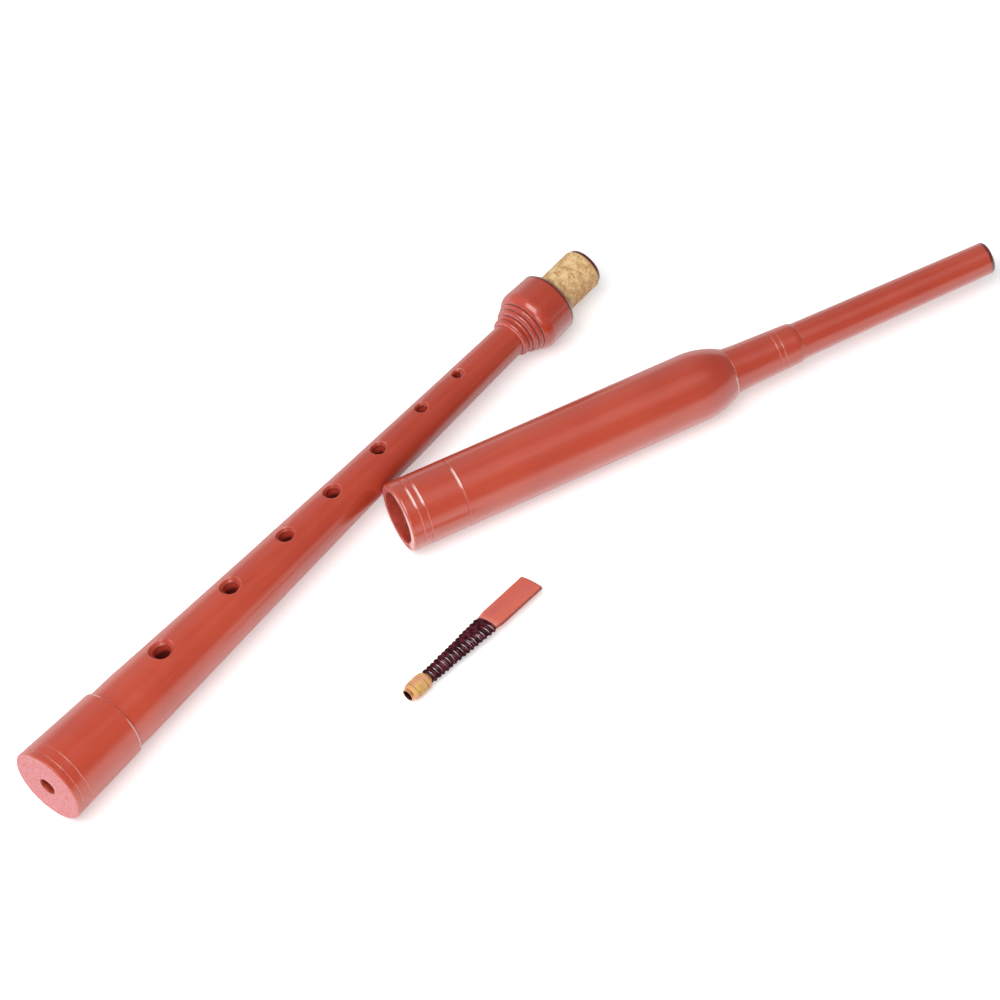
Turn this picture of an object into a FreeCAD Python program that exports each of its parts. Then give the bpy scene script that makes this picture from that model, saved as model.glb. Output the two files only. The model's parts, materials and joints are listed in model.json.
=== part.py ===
import FreeCAD, Part
import math
import os
from FreeCAD import Vector

# A practice chanter taken apart: the chanter with its finger holes, the top
# joint with its mouthpiece, and the reed, all three lying on a flat surface.
# Millimetres, Z up, the surface at Z = 0, the chanter's axis along +X.
# Every turned piece is drawn along its own axis first, and is laid down at the end.

# Shared clearances and the overrun of every cut
fit_clearance = 0.05
glue_clearance = 0.02
rest_clearance = 0.3
cut_overrun = 1.0

# Chanter: sole, tapered tube, rings, bulb and tenon, from the sole's face upwards
sole_length = 27.3
sole_radius = 12.05
sole_top_radius = 11.0
sole_edge = 0.3
sole_step = 0.7
tube_length = 176.35
tube_land = 9.15
tube_land_drop = 0.1
tube_tip_radius = 5.3
tube_hollow = 0.47
ring_width = 1.48
ring_gap = 0.1
ring_lean = 0.1
bulb_radius = 10.1
bulb_rise = 2.9
bulb_band = 8.8
bulb_band_drop = 0.35
bulb_bevel = 1.2
tenon_length = 16.1
tenon_radius = 5.5
tenon_lip_radius = 6.1
tenon_lip_length = 1.1
tenon_lip_edge = 0.25
cork_radius = 6.6
cork_edge = 0.6

# Where one straight stretch of the hollow taper meets the next, clear of the finger holes
tube_stretch_shares = (0.0, 0.18, 0.34, 0.59, 0.81, 1.0)

# Crest and foot of each ring, as shares of the bulb's radius, from the tube upwards
ring_crest_shares = (0.644, 0.674, 0.772, 0.842)
ring_foot_shares = (0.584, 0.597, 0.693, 0.756)
bulb_foot_share = 0.852

# Chanter's bore, its countersunk mouth and the seat of the reed
bore_radius = 2.4
bore_mouth_flare = 0.4
reed_seat_radius = 2.9
reed_seat_depth = 11.0
reed_seat_cone = 1.0

# Finger holes: places as shares of the tapering part of the tube, sizes as shares of the lowest
# hole's, and how deep a bowl's arc lies half way out as a share of its depth
hole_radius = 2.5
hole_sink_radius = 4.0
hole_sink_depth = 1.7
hole_place_shares = (0.0854, 0.2608, 0.4042, 0.5265, 0.6493, 0.7653, 0.8639)
hole_size_shares = (1.0, 0.86, 0.82, 0.82, 0.76, 0.64, 0.6)
hole_sink_shares = (1.0, 0.87, 0.76, 0.75, 0.68, 0.56, 0.5)
thumb_place_share = 0.93
thumb_size_share = 0.66
thumb_sink_share = 0.54
bowl_arc_share = 0.38

# Turned grooves, as wide and as deep on every piece, and their places from the nearer end
groove_width = 0.55
groove_depth = 0.3
sole_groove_places = (2.1, 5.3)
barrel_groove_places = (3.6, 6.0, 18.4)
neck_groove_places = (6.6, 8.4)

# Barrel of the top joint, from its open mouth upwards
barrel_length = 109.3
barrel_mouth_radius = 10.7
barrel_shoulder_radius = 10.5
barrel_dome_length = 12.3
barrel_lip_radius = 7.45
barrel_edge = 0.7
lip_edge = 0.2
socket_radius = cork_radius + fit_clearance
socket_mouth_radius = 7.75
socket_lead_in = 4.0
socket_mouth_bevel = 0.5
chamber_cone = 4.0
chamber_wall = 3.0
chamber_throat_radius = 3.3
neck_socket_radius = 5.0
neck_socket_depth = 18.3

# Neck that plugs into the barrel, from its shoulder upwards
neck_length = 23.3
neck_foot_radius = 7.1
neck_foot_edge = 0.2
neck_flare = 8.7
neck_waist_radius = 6.62
neck_flare_hollow = 0.1
collar_radius = 6.2
collar_round = 2.3
collar_end_radius = 5.7
neck_tenon_gap = 1.0
neck_tenon_radius = 4.1
neck_lip_length = 1.2
neck_hemp_collar = 1.0
stem_socket_radius = 3.9
stem_socket_depth = 12.6

# Stem, from the collar to the tip that goes into the mouth
stem_length = 65.6
stem_root_radius = 5.6
stem_tip_radius = 4.9
stem_tip_round = 1.0
stem_spigot_gap = 1.0
air_radius = 2.4
air_mouth_flare = 0.4

# Reed: staple, wrap at its base, two blades and the thread that binds them
staple_length = 26.0
staple_base_radius = 2.0
staple_bound_radius = 1.6
staple_round_length = 8.0
staple_top_half_width = 1.95
staple_top_half_height = 0.85
staple_wall = 0.3
wrap_start = 1.0
wrap_length = 6.9
wrap_radius = reed_seat_radius - fit_clearance
wrap_edge = 0.9
wrap_edge_drop = 0.45
reed_length = 52.8
blade_root_place = 18.0
blade_mouth_place = 33.0
blade_flare_length = 3.0
blade_root_half_width = 2.0
blade_staple_half_width = 2.75
blade_mouth_half_width = 3.45
blade_flare_half_width = 4.1
blade_tip_half_width = 4.2
blade_seat_clearance = 0.06
blade_mouth_rise = 0.8
blade_tip_rise = 0.5
blade_edge_gap = 0.05
blade_thickness = 0.45
blade_tip_thickness = 0.35
thread_radius = 0.3
thread_sides = 6
thread_turns = 15
thread_clearance = 0.08
thread_side_clearance = 0.2
thread_start = 8.6
thread_end = 33.4

# How the three lie: turned, tilted and rolled as they rest on the surface
chanter_roll_degrees = -9.1
top_turn_degrees = -22.8
top_mouth_place = 132.75
reed_turn_degrees = -2.6
reed_roll_degrees = -16.0
reed_place = 90.65
reed_offset = 55.6

# How finely the thread's path is measured
samples_per_arc = 6


# Outlines

def between(x, x0, r0, x1, r1):
    """Radius at x on the straight line from (x0, r0) to (x1, r1)."""
    return r0 + (r1 - r0) * (x - x0) / (x1 - x0)


def edges_of(start, moves):
    """Edges from a start point and moves.

    A move of one point is a line to it. A move of two points is an arc through the first to
    the second. After the word bow, a smooth curve heads for the points before the last one and
    ends at the last.
    """
    edges = []
    here = Vector(start[0], start[1], 0)
    for move in moves:
        points = [Vector(p[0], p[1], 0) for p in move if p != "bow"]
        if len(points) == 1:
            edges.append(Part.makeLine(here, points[0]))
        elif move[0] == "bow":
            curve = Part.BezierCurve()
            curve.setPoles([here] + points)
            edges.append(curve.toShape())
        else:
            edges.append(Part.Arc(here, points[0], points[1]).toShape())
        here = points[-1]
    return edges, here


def towards_crest(crest, foot):
    """Middle of the arc between a crest, where the outline runs along the axis, and its foot."""
    drop = crest[1] - foot[1]
    reach = foot[0] - crest[0]
    radius = (reach * reach + drop * drop) / (2 * drop)
    half = math.atan2(drop, abs(reach))
    x = crest[0] + math.copysign(radius * math.sin(half), reach)
    return x, crest[1] - radius * (1 - math.cos(half))


def turned(start, moves, axis=Vector(1, 0, 0)):
    """A solid turned from an outline of (x, radius) points, closed with a line to its start."""
    edges, last = edges_of(start, moves)
    edges.append(Part.makeLine(last, Vector(start[0], start[1], 0)))
    return Part.Face(Part.Wire(edges)).revolve(Vector(0, 0, 0), axis, 360)


def groove(x, radius_at):
    """Moves that cut one V-shaped groove at x into an outline that runs upwards."""
    before = x - groove_width / 2
    after = x + groove_width / 2
    return [((before, radius_at(before)),),
            ((x, radius_at(x) - groove_depth),),
            ((after, radius_at(after)),)]


def corner_inset(edge):
    """How far the middle of a rounded corner lies inside both of its faces."""
    return edge * (1 - math.sqrt(0.5))


def bevelled_end(x, radius, edge):
    """Moves along a side and across its bevelled corner to the end face at x."""
    return [((x - edge, radius),), ((x, radius - edge),)]


def rounded_end(x, radius, edge):
    """Moves along a side and round its outer corner to the end face at x."""
    inset = corner_inset(edge)
    return [((x - edge, radius),),
            ((x - inset, radius - inset), (x, radius - edge))]


def rod(start, length, radius):
    """A plain round cutter along the axis."""
    return Part.makeCylinder(radius, length, Vector(start, 0, 0), Vector(1, 0, 0))


def funnel(start, length, radius, end_radius):
    """A tapered round cutter along the axis."""
    return Part.makeCone(radius, end_radius, length, Vector(start, 0, 0), Vector(1, 0, 0))


# Chanter

tube_start_radius = sole_top_radius - sole_step
tube_taper_start = sole_length + tube_land
tube_taper_radius = tube_start_radius - tube_land_drop
ring_group_start = sole_length + tube_length
ring_group_length = len(ring_crest_shares) * (ring_width + ring_gap) - ring_gap
bulb_start = ring_group_start + ring_group_length
bulb_crest = bulb_start + bulb_rise
bulb_band_end = bulb_crest + bulb_band
bulb_end = bulb_band_end + bulb_bevel
bulb_band_radius = bulb_radius - bulb_band_drop
chanter_length = bulb_end + tenon_length
cork_end = chanter_length - tenon_lip_length


def sole_side(x):
    return between(x, 0, sole_radius, sole_length, sole_top_radius)


def taper_place(share):
    """Distance from the sole's face to a share of the tube's tapering part."""
    return tube_taper_start + share * (ring_group_start - tube_taper_start)


def tube_stations():
    """(place, radius) points on the slightly hollow taper, where its straight stretches meet."""
    stations = []
    for share in tube_stretch_shares:
        straight = tube_taper_radius + share * (tube_tip_radius - tube_taper_radius)
        hollow = tube_hollow * 4 * share * (1 - share)
        stations.append((taper_place(share), straight - hollow))
    return stations


def tube_side(x):
    """Radius of the taper at x."""
    stations = tube_stations()
    for near, far in zip(stations, stations[1:]):
        if x <= far[0]:
            break
    return between(x, *near, *far)


def ring_moves():
    """The four turned rings between the tube and the bulb, each one a smooth bead."""
    moves = []
    x = ring_group_start
    for foot_share, crest_share in zip(ring_foot_shares, ring_crest_shares):
        foot = foot_share * bulb_radius
        head = foot + (crest_share - foot_share) * bulb_radius * 4 / 3
        end = x + ring_width
        moves.append(((x, foot),))
        moves.append(("bow", (x + ring_lean, head), (end - ring_lean, head), (end, foot)))
        x = end + ring_gap
    return moves


def chanter_outline():
    foot = (bulb_start, bulb_foot_share * bulb_radius)
    crest = (bulb_crest, bulb_radius)
    moves = []
    moves.append(((0, sole_radius - sole_edge),))
    moves.append(((sole_edge, sole_side(sole_edge)),))
    for place in sole_groove_places:
        moves += groove(place, sole_side)
    moves.append(((sole_length, sole_top_radius),))
    moves.append(((sole_length, tube_start_radius),))
    moves += [(station,) for station in tube_stations()]
    moves += ring_moves()
    moves.append((foot,))
    moves.append((towards_crest(crest, foot), crest))
    moves.append(((bulb_band_end, bulb_band_radius),))
    moves.append(((bulb_end, bulb_band_radius - bulb_bevel),))
    moves.append(((bulb_end, tenon_radius),))
    moves.append(((cork_end, tenon_radius),))
    moves.append(((cork_end, tenon_lip_radius),))
    moves += bevelled_end(chanter_length, tenon_lip_radius, tenon_lip_edge)
    moves.append(((chanter_length, 0),))
    return moves


def chanter_bore():
    seat_start = chanter_length - reed_seat_depth
    cone_start = seat_start - reed_seat_cone
    mouth = funnel(0, bore_mouth_flare, bore_radius + bore_mouth_flare, bore_radius)
    bore = rod(0, chanter_length, bore_radius)
    cone = funnel(cone_start, reed_seat_cone, bore_radius, reed_seat_radius)
    seat = rod(seat_start, reed_seat_depth + cut_overrun, reed_seat_radius)
    entry = rod(-cut_overrun, cut_overrun + bore_mouth_flare / 2, bore_radius)
    return [mouth, bore, cone, seat, entry]


def finger_hole(place_share, size_share, sink_share, side):
    """A hole from the bore out through the wall, with a bowl sunk round its mouth."""
    x = taper_place(place_share)
    radius = size_share * hole_radius
    sink_radius = sink_share * hole_sink_radius
    sink_depth = sink_share * hole_sink_depth
    top = tube_side(x)
    bottom = top - sink_depth
    middle = ((radius + sink_radius) / 2, bottom + bowl_arc_share * sink_depth)
    moves = [((radius, 0),)]
    moves.append(((radius, bottom),))
    moves.append((middle, (sink_radius, top)))
    moves.append(((sink_radius, top + cut_overrun),))
    moves.append(((0, top + cut_overrun),))
    tool = turned((0, 0), moves, Vector(0, 1, 0))
    tool.rotate(Vector(0, 0, 0), Vector(1, 0, 0), 90 * side)
    tool.translate(Vector(x, 0, 0))
    return tool


def finger_holes():
    """Seven holes along the front and one for the thumb behind."""
    front = zip(hole_place_shares, hole_size_shares, hole_sink_shares)
    tools = [finger_hole(place, size, sink, 1) for place, size, sink in front]
    tools.append(finger_hole(thumb_place_share, thumb_size_share, thumb_sink_share, -1))
    return tools


def chanter_body():
    body = turned((0, 0), chanter_outline())
    return body.cut(chanter_bore() + finger_holes())


def tenon_cork():
    moves = [((bulb_end, cork_radius),)]
    moves += rounded_end(cork_end, cork_radius, cork_edge)
    moves.append(((cork_end, tenon_radius),))
    return turned((bulb_end, tenon_radius), moves)


# Barrel

barrel_shoulder_place = barrel_length - barrel_dome_length
neck_socket_start = barrel_length - neck_socket_depth
chamber_end = neck_socket_start - chamber_wall
chamber_depth = chamber_end - chamber_cone


def barrel_side(x):
    return between(x, 0, barrel_mouth_radius, barrel_shoulder_place, barrel_shoulder_radius)


def top_barrel():
    shoulder = (barrel_shoulder_place, barrel_shoulder_radius)
    dome_end = (barrel_length - lip_edge, barrel_lip_radius)
    inset = corner_inset(barrel_edge)
    moves = [((inset, barrel_mouth_radius - inset), (barrel_edge, barrel_side(barrel_edge)))]
    for place in barrel_groove_places:
        moves += groove(place, barrel_side)
    moves.append((shoulder,))
    moves.append((towards_crest(shoulder, dome_end), dome_end))
    moves.append(((barrel_length, barrel_lip_radius - lip_edge),))
    moves.append(((barrel_length, neck_socket_radius),))
    moves.append(((neck_socket_start, neck_socket_radius),))
    moves.append(((neck_socket_start, chamber_throat_radius),))
    moves.append(((chamber_end, chamber_throat_radius),))
    moves.append(((chamber_depth, socket_radius),))
    moves.append(((socket_lead_in, socket_radius),))
    moves.append(((socket_mouth_bevel, socket_mouth_radius),))
    moves.append(((0, socket_mouth_radius + socket_mouth_bevel),))
    return turned((0, barrel_mouth_radius - barrel_edge), moves)


# Mouthpiece: neck, the hemp round its tenon, and the stem

neck_start = barrel_length
neck_end = neck_start + neck_length
neck_tenon_start = neck_socket_start + neck_tenon_gap
neck_hemp_start = neck_tenon_start + neck_lip_length
neck_hemp_end = neck_start - neck_hemp_collar
neck_hemp_radius = neck_socket_radius - fit_clearance
neck_flare_end = neck_start + neck_flare
neck_collar_start = neck_end - collar_round


def neck_side(x):
    return between(x, neck_flare_end, neck_waist_radius, neck_collar_start, collar_radius)


def mouthpiece_neck():
    flare_middle = ((neck_start + neck_flare_end) / 2,
                    (neck_foot_radius + neck_waist_radius) / 2 - neck_flare_hollow)
    collar_start = (neck_collar_start, collar_radius)
    collar_end = (neck_end, collar_end_radius)
    socket_start = neck_end - stem_socket_depth
    moves = [((neck_tenon_start, neck_hemp_radius),)]
    moves.append(((neck_hemp_start, neck_hemp_radius),))
    moves.append(((neck_hemp_start, neck_tenon_radius),))
    moves.append(((neck_hemp_end, neck_tenon_radius),))
    moves.append(((neck_hemp_end, neck_hemp_radius),))
    moves.append(((neck_start, neck_hemp_radius),))
    moves.append(((neck_start, neck_foot_radius - neck_foot_edge),))
    moves.append(((neck_start + neck_foot_edge, neck_foot_radius),))
    moves.append((flare_middle, (neck_flare_end, neck_waist_radius)))
    for place in reversed(neck_groove_places):
        moves += groove(neck_end - place, neck_side)
    moves.append((collar_start,))
    moves.append((towards_crest(collar_start, collar_end), collar_end))
    moves.append(((neck_end, stem_socket_radius),))
    moves.append(((socket_start, stem_socket_radius),))
    moves.append(((socket_start, air_radius),))
    return turned((neck_tenon_start, air_radius), moves)


def neck_hemp():
    moves = [((neck_hemp_start, neck_hemp_radius),)]
    moves.append(((neck_hemp_end, neck_hemp_radius),))
    moves.append(((neck_hemp_end, neck_tenon_radius),))
    return turned((neck_hemp_start, neck_tenon_radius), moves)


def mouthpiece_stem():
    spigot_start = neck_end - stem_socket_depth + stem_spigot_gap
    spigot_radius = stem_socket_radius - glue_clearance
    tip = neck_end + stem_length
    moves = [((spigot_start, spigot_radius),)]
    moves.append(((neck_end, spigot_radius),))
    moves.append(((neck_end, stem_root_radius),))
    moves += rounded_end(tip, stem_tip_radius, stem_tip_round)
    moves.append(((tip, air_radius + air_mouth_flare),))
    moves.append(((tip - air_mouth_flare, air_radius),))
    return turned((spigot_start, air_radius), moves)


# Reed

wrap_end = wrap_start + wrap_length
quarters = 4


def staple_half_sizes(s):
    """Half width and half height of the staple's outside at s from its open end."""
    if s <= staple_round_length:
        radius = between(s, 0, staple_base_radius, staple_round_length, staple_bound_radius)
        return radius, radius
    width = between(s, staple_round_length, staple_bound_radius, staple_length, staple_top_half_width)
    height = between(s, staple_round_length, staple_bound_radius, staple_length, staple_top_half_height)
    return width, height


def oval(s, half_width, half_height):
    """A closed oval across the X axis at s, half_width along Y."""
    centre = Vector(s, 0, 0)
    if half_width == half_height:
        curve = Part.Circle(centre, Vector(1, 0, 0), half_width)
        curve.XAxis = Vector(0, 1, 0)
    else:
        curve = Part.Ellipse(Vector(s, half_width, 0), Vector(s, 0, half_height), centre)
    return Part.Wire([curve.toShape()])


def reed_staple():
    places = (0, staple_round_length, staple_length)
    outer = []
    inner = []
    for s in places:
        width, height = staple_half_sizes(s)
        outer.append(oval(s, width, height))
        inner.append(oval(s, width - staple_wall, height - staple_wall))
    return Part.makeLoft(outer, True, True).cut(Part.makeLoft(inner, True, True))


def reed_wrap():
    """A sleeve of closely wound hemp, rounded off at both ends."""
    start_radius = staple_half_sizes(wrap_start)[0] + glue_clearance
    end_radius = staple_half_sizes(wrap_end)[0] + glue_clearance
    near_foot = (wrap_start, wrap_radius - wrap_edge_drop)
    near_crest = (wrap_start + wrap_edge, wrap_radius)
    far_crest = (wrap_end - wrap_edge, wrap_radius)
    far_foot = (wrap_end, wrap_radius - wrap_edge_drop)
    moves = [(near_foot,)]
    moves.append((towards_crest(near_crest, near_foot), near_crest))
    moves.append((far_crest,))
    moves.append((towards_crest(far_crest, far_foot), far_foot))
    moves.append(((wrap_end, end_radius),))
    return turned((wrap_start, start_radius), moves)


blade_root_rise = staple_half_sizes(blade_root_place)[1] + blade_seat_clearance
blade_staple_rise = staple_half_sizes(staple_length)[1] + blade_seat_clearance
blade_flare_place = blade_mouth_place + blade_flare_length


def blade_section(s, half_width, rise, thickness, side):
    """An arched strip across the reed: rise is its crown's height over the reed's middle plane."""
    low = side * blade_edge_gap
    high = side * (blade_edge_gap + thickness)
    left = -half_width
    corners = [Vector(s, left, low), Vector(s, half_width, low),
               Vector(s, half_width, high), Vector(s, left, high)]
    inner = Part.Arc(corners[0], Vector(s, 0, side * rise), corners[1]).toShape()
    right_side = Part.makeLine(corners[1], corners[2])
    outer = Part.Arc(corners[2], Vector(s, 0, side * (rise + thickness)), corners[3]).toShape()
    left_side = Part.makeLine(corners[3], corners[0])
    return Part.Wire([inner, right_side, outer, left_side])


def reed_blade(side):
    stations = [
        (blade_root_place, blade_root_half_width, blade_root_rise, blade_thickness),
        (staple_length, blade_staple_half_width, blade_staple_rise, blade_thickness),
        (blade_mouth_place, blade_mouth_half_width, blade_mouth_rise, blade_thickness),
        (blade_flare_place, blade_flare_half_width, blade_mouth_rise, blade_thickness),
        (reed_length, blade_tip_half_width, blade_tip_rise, blade_tip_thickness),
    ]
    sections = [blade_section(*station, side) for station in stations]
    return Part.makeLoft(sections, True, True)


def thread_half_sizes(s):
    """Half width and half height of the thread's centre line at s: round, then flat over the blades."""
    reach = thread_clearance + thread_radius
    side_reach = thread_side_clearance + thread_radius
    start = staple_half_sizes(thread_start)[0] + reach
    root = (blade_root_half_width + side_reach, blade_root_rise + blade_thickness + reach)
    mouth = (blade_mouth_half_width + side_reach, blade_mouth_rise + blade_thickness + reach)
    if s <= blade_root_place:
        width = between(s, thread_start, start, blade_root_place, root[0])
        height = between(s, thread_start, start, blade_root_place, root[1])
    else:
        width = between(s, blade_root_place, root[0], blade_mouth_place, mouth[0])
        height = between(s, blade_root_place, root[1], blade_mouth_place, mouth[1])
    return width, height


def thread_point(turn):
    """Centre line of the thread after so many turns from its start."""
    pitch = (thread_end - thread_start) / thread_turns
    s = thread_start + pitch * turn
    width, height = thread_half_sizes(s)
    angle = 2 * math.pi * turn
    return Vector(s, width * math.cos(angle), height * math.sin(angle))


def thread_direction(turn):
    """The way the thread runs there, from points a hundredth of a turn apart."""
    step = 1 / 200
    return (thread_point(turn + step) - thread_point(turn - step)).normalize()


def arc_from(start, direction, end):
    """The arc that leaves start along direction and arrives at end."""
    chord = end - start
    across = chord - direction * direction.dot(chord)
    half = math.atan2(across.Length, direction.dot(chord))
    bulge = chord * direction.dot(chord) / chord.dot(chord) - direction
    middle = (start + end) / 2 - bulge.normalize() * (chord.Length / 2 * math.tan(half / 2))
    return Part.Arc(start, middle, end).toShape()


def biarc(start, direction, end, end_direction):
    """Two arcs that join start to end and share a tangent where they meet."""
    span = end - start
    both = direction + end_direction
    spread = 2 * (1 - direction.dot(end_direction))
    reach = (-span.dot(both) + math.sqrt(span.dot(both) ** 2 + spread * span.dot(span))) / spread
    joint = (start + end + (direction - end_direction) * reach) * 0.5
    return [arc_from(start, direction, joint), arc_from(end, end_direction * -1, joint)]


def thread_path():
    """The whole winding in quarter turns, with a straight end of one diameter at each end."""
    turns = [count / quarters for count in range(thread_turns * quarters + 1)]
    points = [thread_point(turn) for turn in turns]
    directions = [thread_direction(turn) for turn in turns]
    lead = points[0] - directions[0] * (2 * thread_radius)
    tail = points[-1] + directions[-1] * (2 * thread_radius)
    edges = [Part.makeLine(lead, points[0])]
    for i in range(len(points) - 1):
        edges += biarc(points[i], directions[i], points[i + 1], directions[i + 1])
    edges.append(Part.makeLine(points[-1], tail))
    return Part.Wire(edges), lead, directions[0]


def thread_samples(path):
    """Points along the winding, the same number on each of its arcs."""
    points = []
    for edge in path.Edges:
        points += edge.discretize(samples_per_arc + 1)[:-1]
    return points


def thread_gap(points):
    """Least distance between the surfaces of neighbouring turns, measured on points."""
    half_turn = samples_per_arc * quarters
    least = reed_length
    for i, point in enumerate(points):
        for other in points[i + half_turn:i + 3 * half_turn]:
            least = min(least, point.distanceToPoint(other))
    return least - 2 * thread_radius


def thread_section(start, direction):
    """The thread's section, a regular polygon square to its direction."""
    outwards = direction.cross(Vector(1, 0, 0)).normalize()
    beside = direction.cross(outwards)
    corners = []
    for count in range(thread_sides + 1):
        angle = 2 * math.pi * count / thread_sides
        corners.append(start + (outwards * math.cos(angle) + beside * math.sin(angle)) * thread_radius)
    return Part.makePolygon(corners)


def reed_binding():
    path, start, direction = thread_path()
    print("thread gap", round(thread_gap(thread_samples(path)), 3))
    return path.makePipeShell([thread_section(start, direction)], True, False)


# Laying the three groups down

def lie(shape, roll, tilt, turn, place):
    """Roll about the axis, tip the far end down, turn in plan, then move to its place."""
    origin = Vector(0, 0, 0)
    shape.rotate(origin, Vector(1, 0, 0), roll)
    shape.rotate(origin, Vector(0, 1, 0), tilt)
    shape.rotate(origin, Vector(0, 0, 1), turn)
    shape.translate(place)
    return shape


def rest(near, far):
    """Tilt and starting height of an axis whose (place, radius) circles both touch the surface."""
    tilt = math.atan2(near[1] - far[1], far[0] - near[0])
    height = near[1] * math.cos(tilt) + near[0] * math.sin(tilt)
    return math.degrees(tilt), height


def lay_chanter(shape):
    """The chanter rests on the edge of its sole and on its bulb."""
    tilt, height = rest((sole_edge, sole_side(sole_edge)), (bulb_crest, bulb_radius))
    return lie(shape, chanter_roll_degrees, tilt, 0, Vector(0, 0, height))


def lay_top(shape):
    """The top joint rests along its barrel, whose rounded rim stands just clear of the tube."""
    near = (barrel_edge, barrel_side(barrel_edge))
    tilt, height = rest(near, (barrel_shoulder_place, barrel_shoulder_radius))
    turn = math.radians(top_turn_degrees)
    rim_radius = barrel_mouth_radius - barrel_edge
    beside = top_mouth_place + barrel_edge * math.cos(turn) - rim_radius * math.sin(turn)
    rim_reach = rim_radius * math.cos(turn) + barrel_edge * (1 + math.sin(turn))
    offset = tube_side(beside) + rest_clearance + rim_reach
    return lie(shape, 0, tilt, top_turn_degrees, Vector(top_mouth_place, -offset, height))


def thread_rest():
    """Place and depth of the point where the last turn of the thread reaches lowest."""
    roll = math.radians(reed_roll_degrees)
    last_turn = thread_samples(thread_path()[0])[-2 * quarters * samples_per_arc:]
    depths = [-point.y * math.sin(roll) - point.z * math.cos(roll) for point in last_turn]
    depth = max(depths)
    return last_turn[depths.index(depth)].x, depth + thread_radius


def lay_reed(shape):
    """The reed rests on its wrap and on the last turn of its thread."""
    tilt, height = rest((wrap_end - wrap_edge, wrap_radius), thread_rest())
    place = Vector(reed_place, -reed_offset, height)
    return lie(shape, reed_roll_degrees, tilt, reed_turn_degrees, place)


def laid_pieces():
    """Every piece under its name, lying where it lies."""
    return {
        "chanter_body": lay_chanter(chanter_body()),
        "tenon_cork": lay_chanter(tenon_cork()),
        "top_barrel": lay_top(top_barrel()),
        "mouthpiece_neck": lay_top(mouthpiece_neck()),
        "neck_tenon_hemp": lay_top(neck_hemp()),
        "mouthpiece_stem": lay_top(mouthpiece_stem()),
        "reed_staple": lay_reed(reed_staple()),
        "reed_base_wrap": lay_reed(reed_wrap()),
        "reed_blade_upper": lay_reed(reed_blade(1)),
        "reed_blade_lower": lay_reed(reed_blade(-1)),
        "reed_binding": lay_reed(reed_binding()),
    }


def bottom_centre(pieces):
    """Middle of the whole object's box, at its lowest height: the frame's origin."""
    box = Part.makeCompound(list(pieces.values())).optimalBoundingBox(False, False)
    return Vector((box.XMin + box.XMax) / 2, (box.YMin + box.YMax) / 2, box.ZMin)


def build():
    pieces = laid_pieces()
    origin = bottom_centre(pieces)
    os.makedirs("parts", exist_ok=True)
    for name, piece in pieces.items():
        piece.translate(origin * -1)
        piece.exportStep("parts/" + name + ".step")


build()
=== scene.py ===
import json
import math
import random
from collections import namedtuple

import bpy
from bpy.props import FloatProperty, FloatVectorProperty, IntProperty, PointerProperty
from mathutils import Matrix, Vector


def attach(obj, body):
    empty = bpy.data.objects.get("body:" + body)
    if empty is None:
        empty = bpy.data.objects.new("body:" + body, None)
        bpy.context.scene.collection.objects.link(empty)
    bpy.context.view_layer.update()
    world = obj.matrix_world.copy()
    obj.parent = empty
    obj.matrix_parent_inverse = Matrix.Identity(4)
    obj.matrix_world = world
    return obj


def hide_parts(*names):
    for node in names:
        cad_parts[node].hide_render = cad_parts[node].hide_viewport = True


bl_info = {
    "name": "Practice Chanter Looks",
    "version": (1, 0, 0),
    "blender": (4, 5, 0),
    "location": "3D View > Sidebar > Chanter",
    "description": "Finishes the wood, cork, hemp and reed of a practice chanter taken apart",
    "category": "Object",
}

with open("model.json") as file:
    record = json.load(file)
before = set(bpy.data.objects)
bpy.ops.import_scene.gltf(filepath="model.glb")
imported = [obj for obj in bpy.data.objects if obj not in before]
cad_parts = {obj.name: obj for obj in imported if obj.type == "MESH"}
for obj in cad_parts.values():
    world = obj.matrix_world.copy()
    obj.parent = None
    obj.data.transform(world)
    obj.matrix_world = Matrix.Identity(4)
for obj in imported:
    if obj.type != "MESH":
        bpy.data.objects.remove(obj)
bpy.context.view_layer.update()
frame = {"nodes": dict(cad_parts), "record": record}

mm = 0.001


# Settings that a user would change

def length(name, description, default):
    """A length in metres, shown in the scene's unit."""
    return FloatProperty(name=name, description=description, default=default,
                         min=0, unit="LENGTH", precision=5)


def angle(name, description, degrees):
    """An angle given here in degrees and kept in radians, as Blender does."""
    return FloatProperty(name=name, description=description, default=math.radians(degrees),
                         unit="ROTATION")


def share(name, description, default):
    """A number from 0 to 1."""
    return FloatProperty(name=name, description=description, default=default,
                         min=0, max=1, subtype="FACTOR")


def colour(name, description, red, green, blue):
    """A colour given here as 0 to 255 on screen and kept as linear light."""
    def linear(value):
        value = value / 255
        return value / 12.92 if value <= 0.04045 else ((value + 0.055) / 1.055) ** 2.4
    return FloatVectorProperty(name=name, description=description, subtype="COLOR", size=4,
                               default=(linear(red), linear(green), linear(blue), 1),
                               min=0, max=1)


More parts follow.
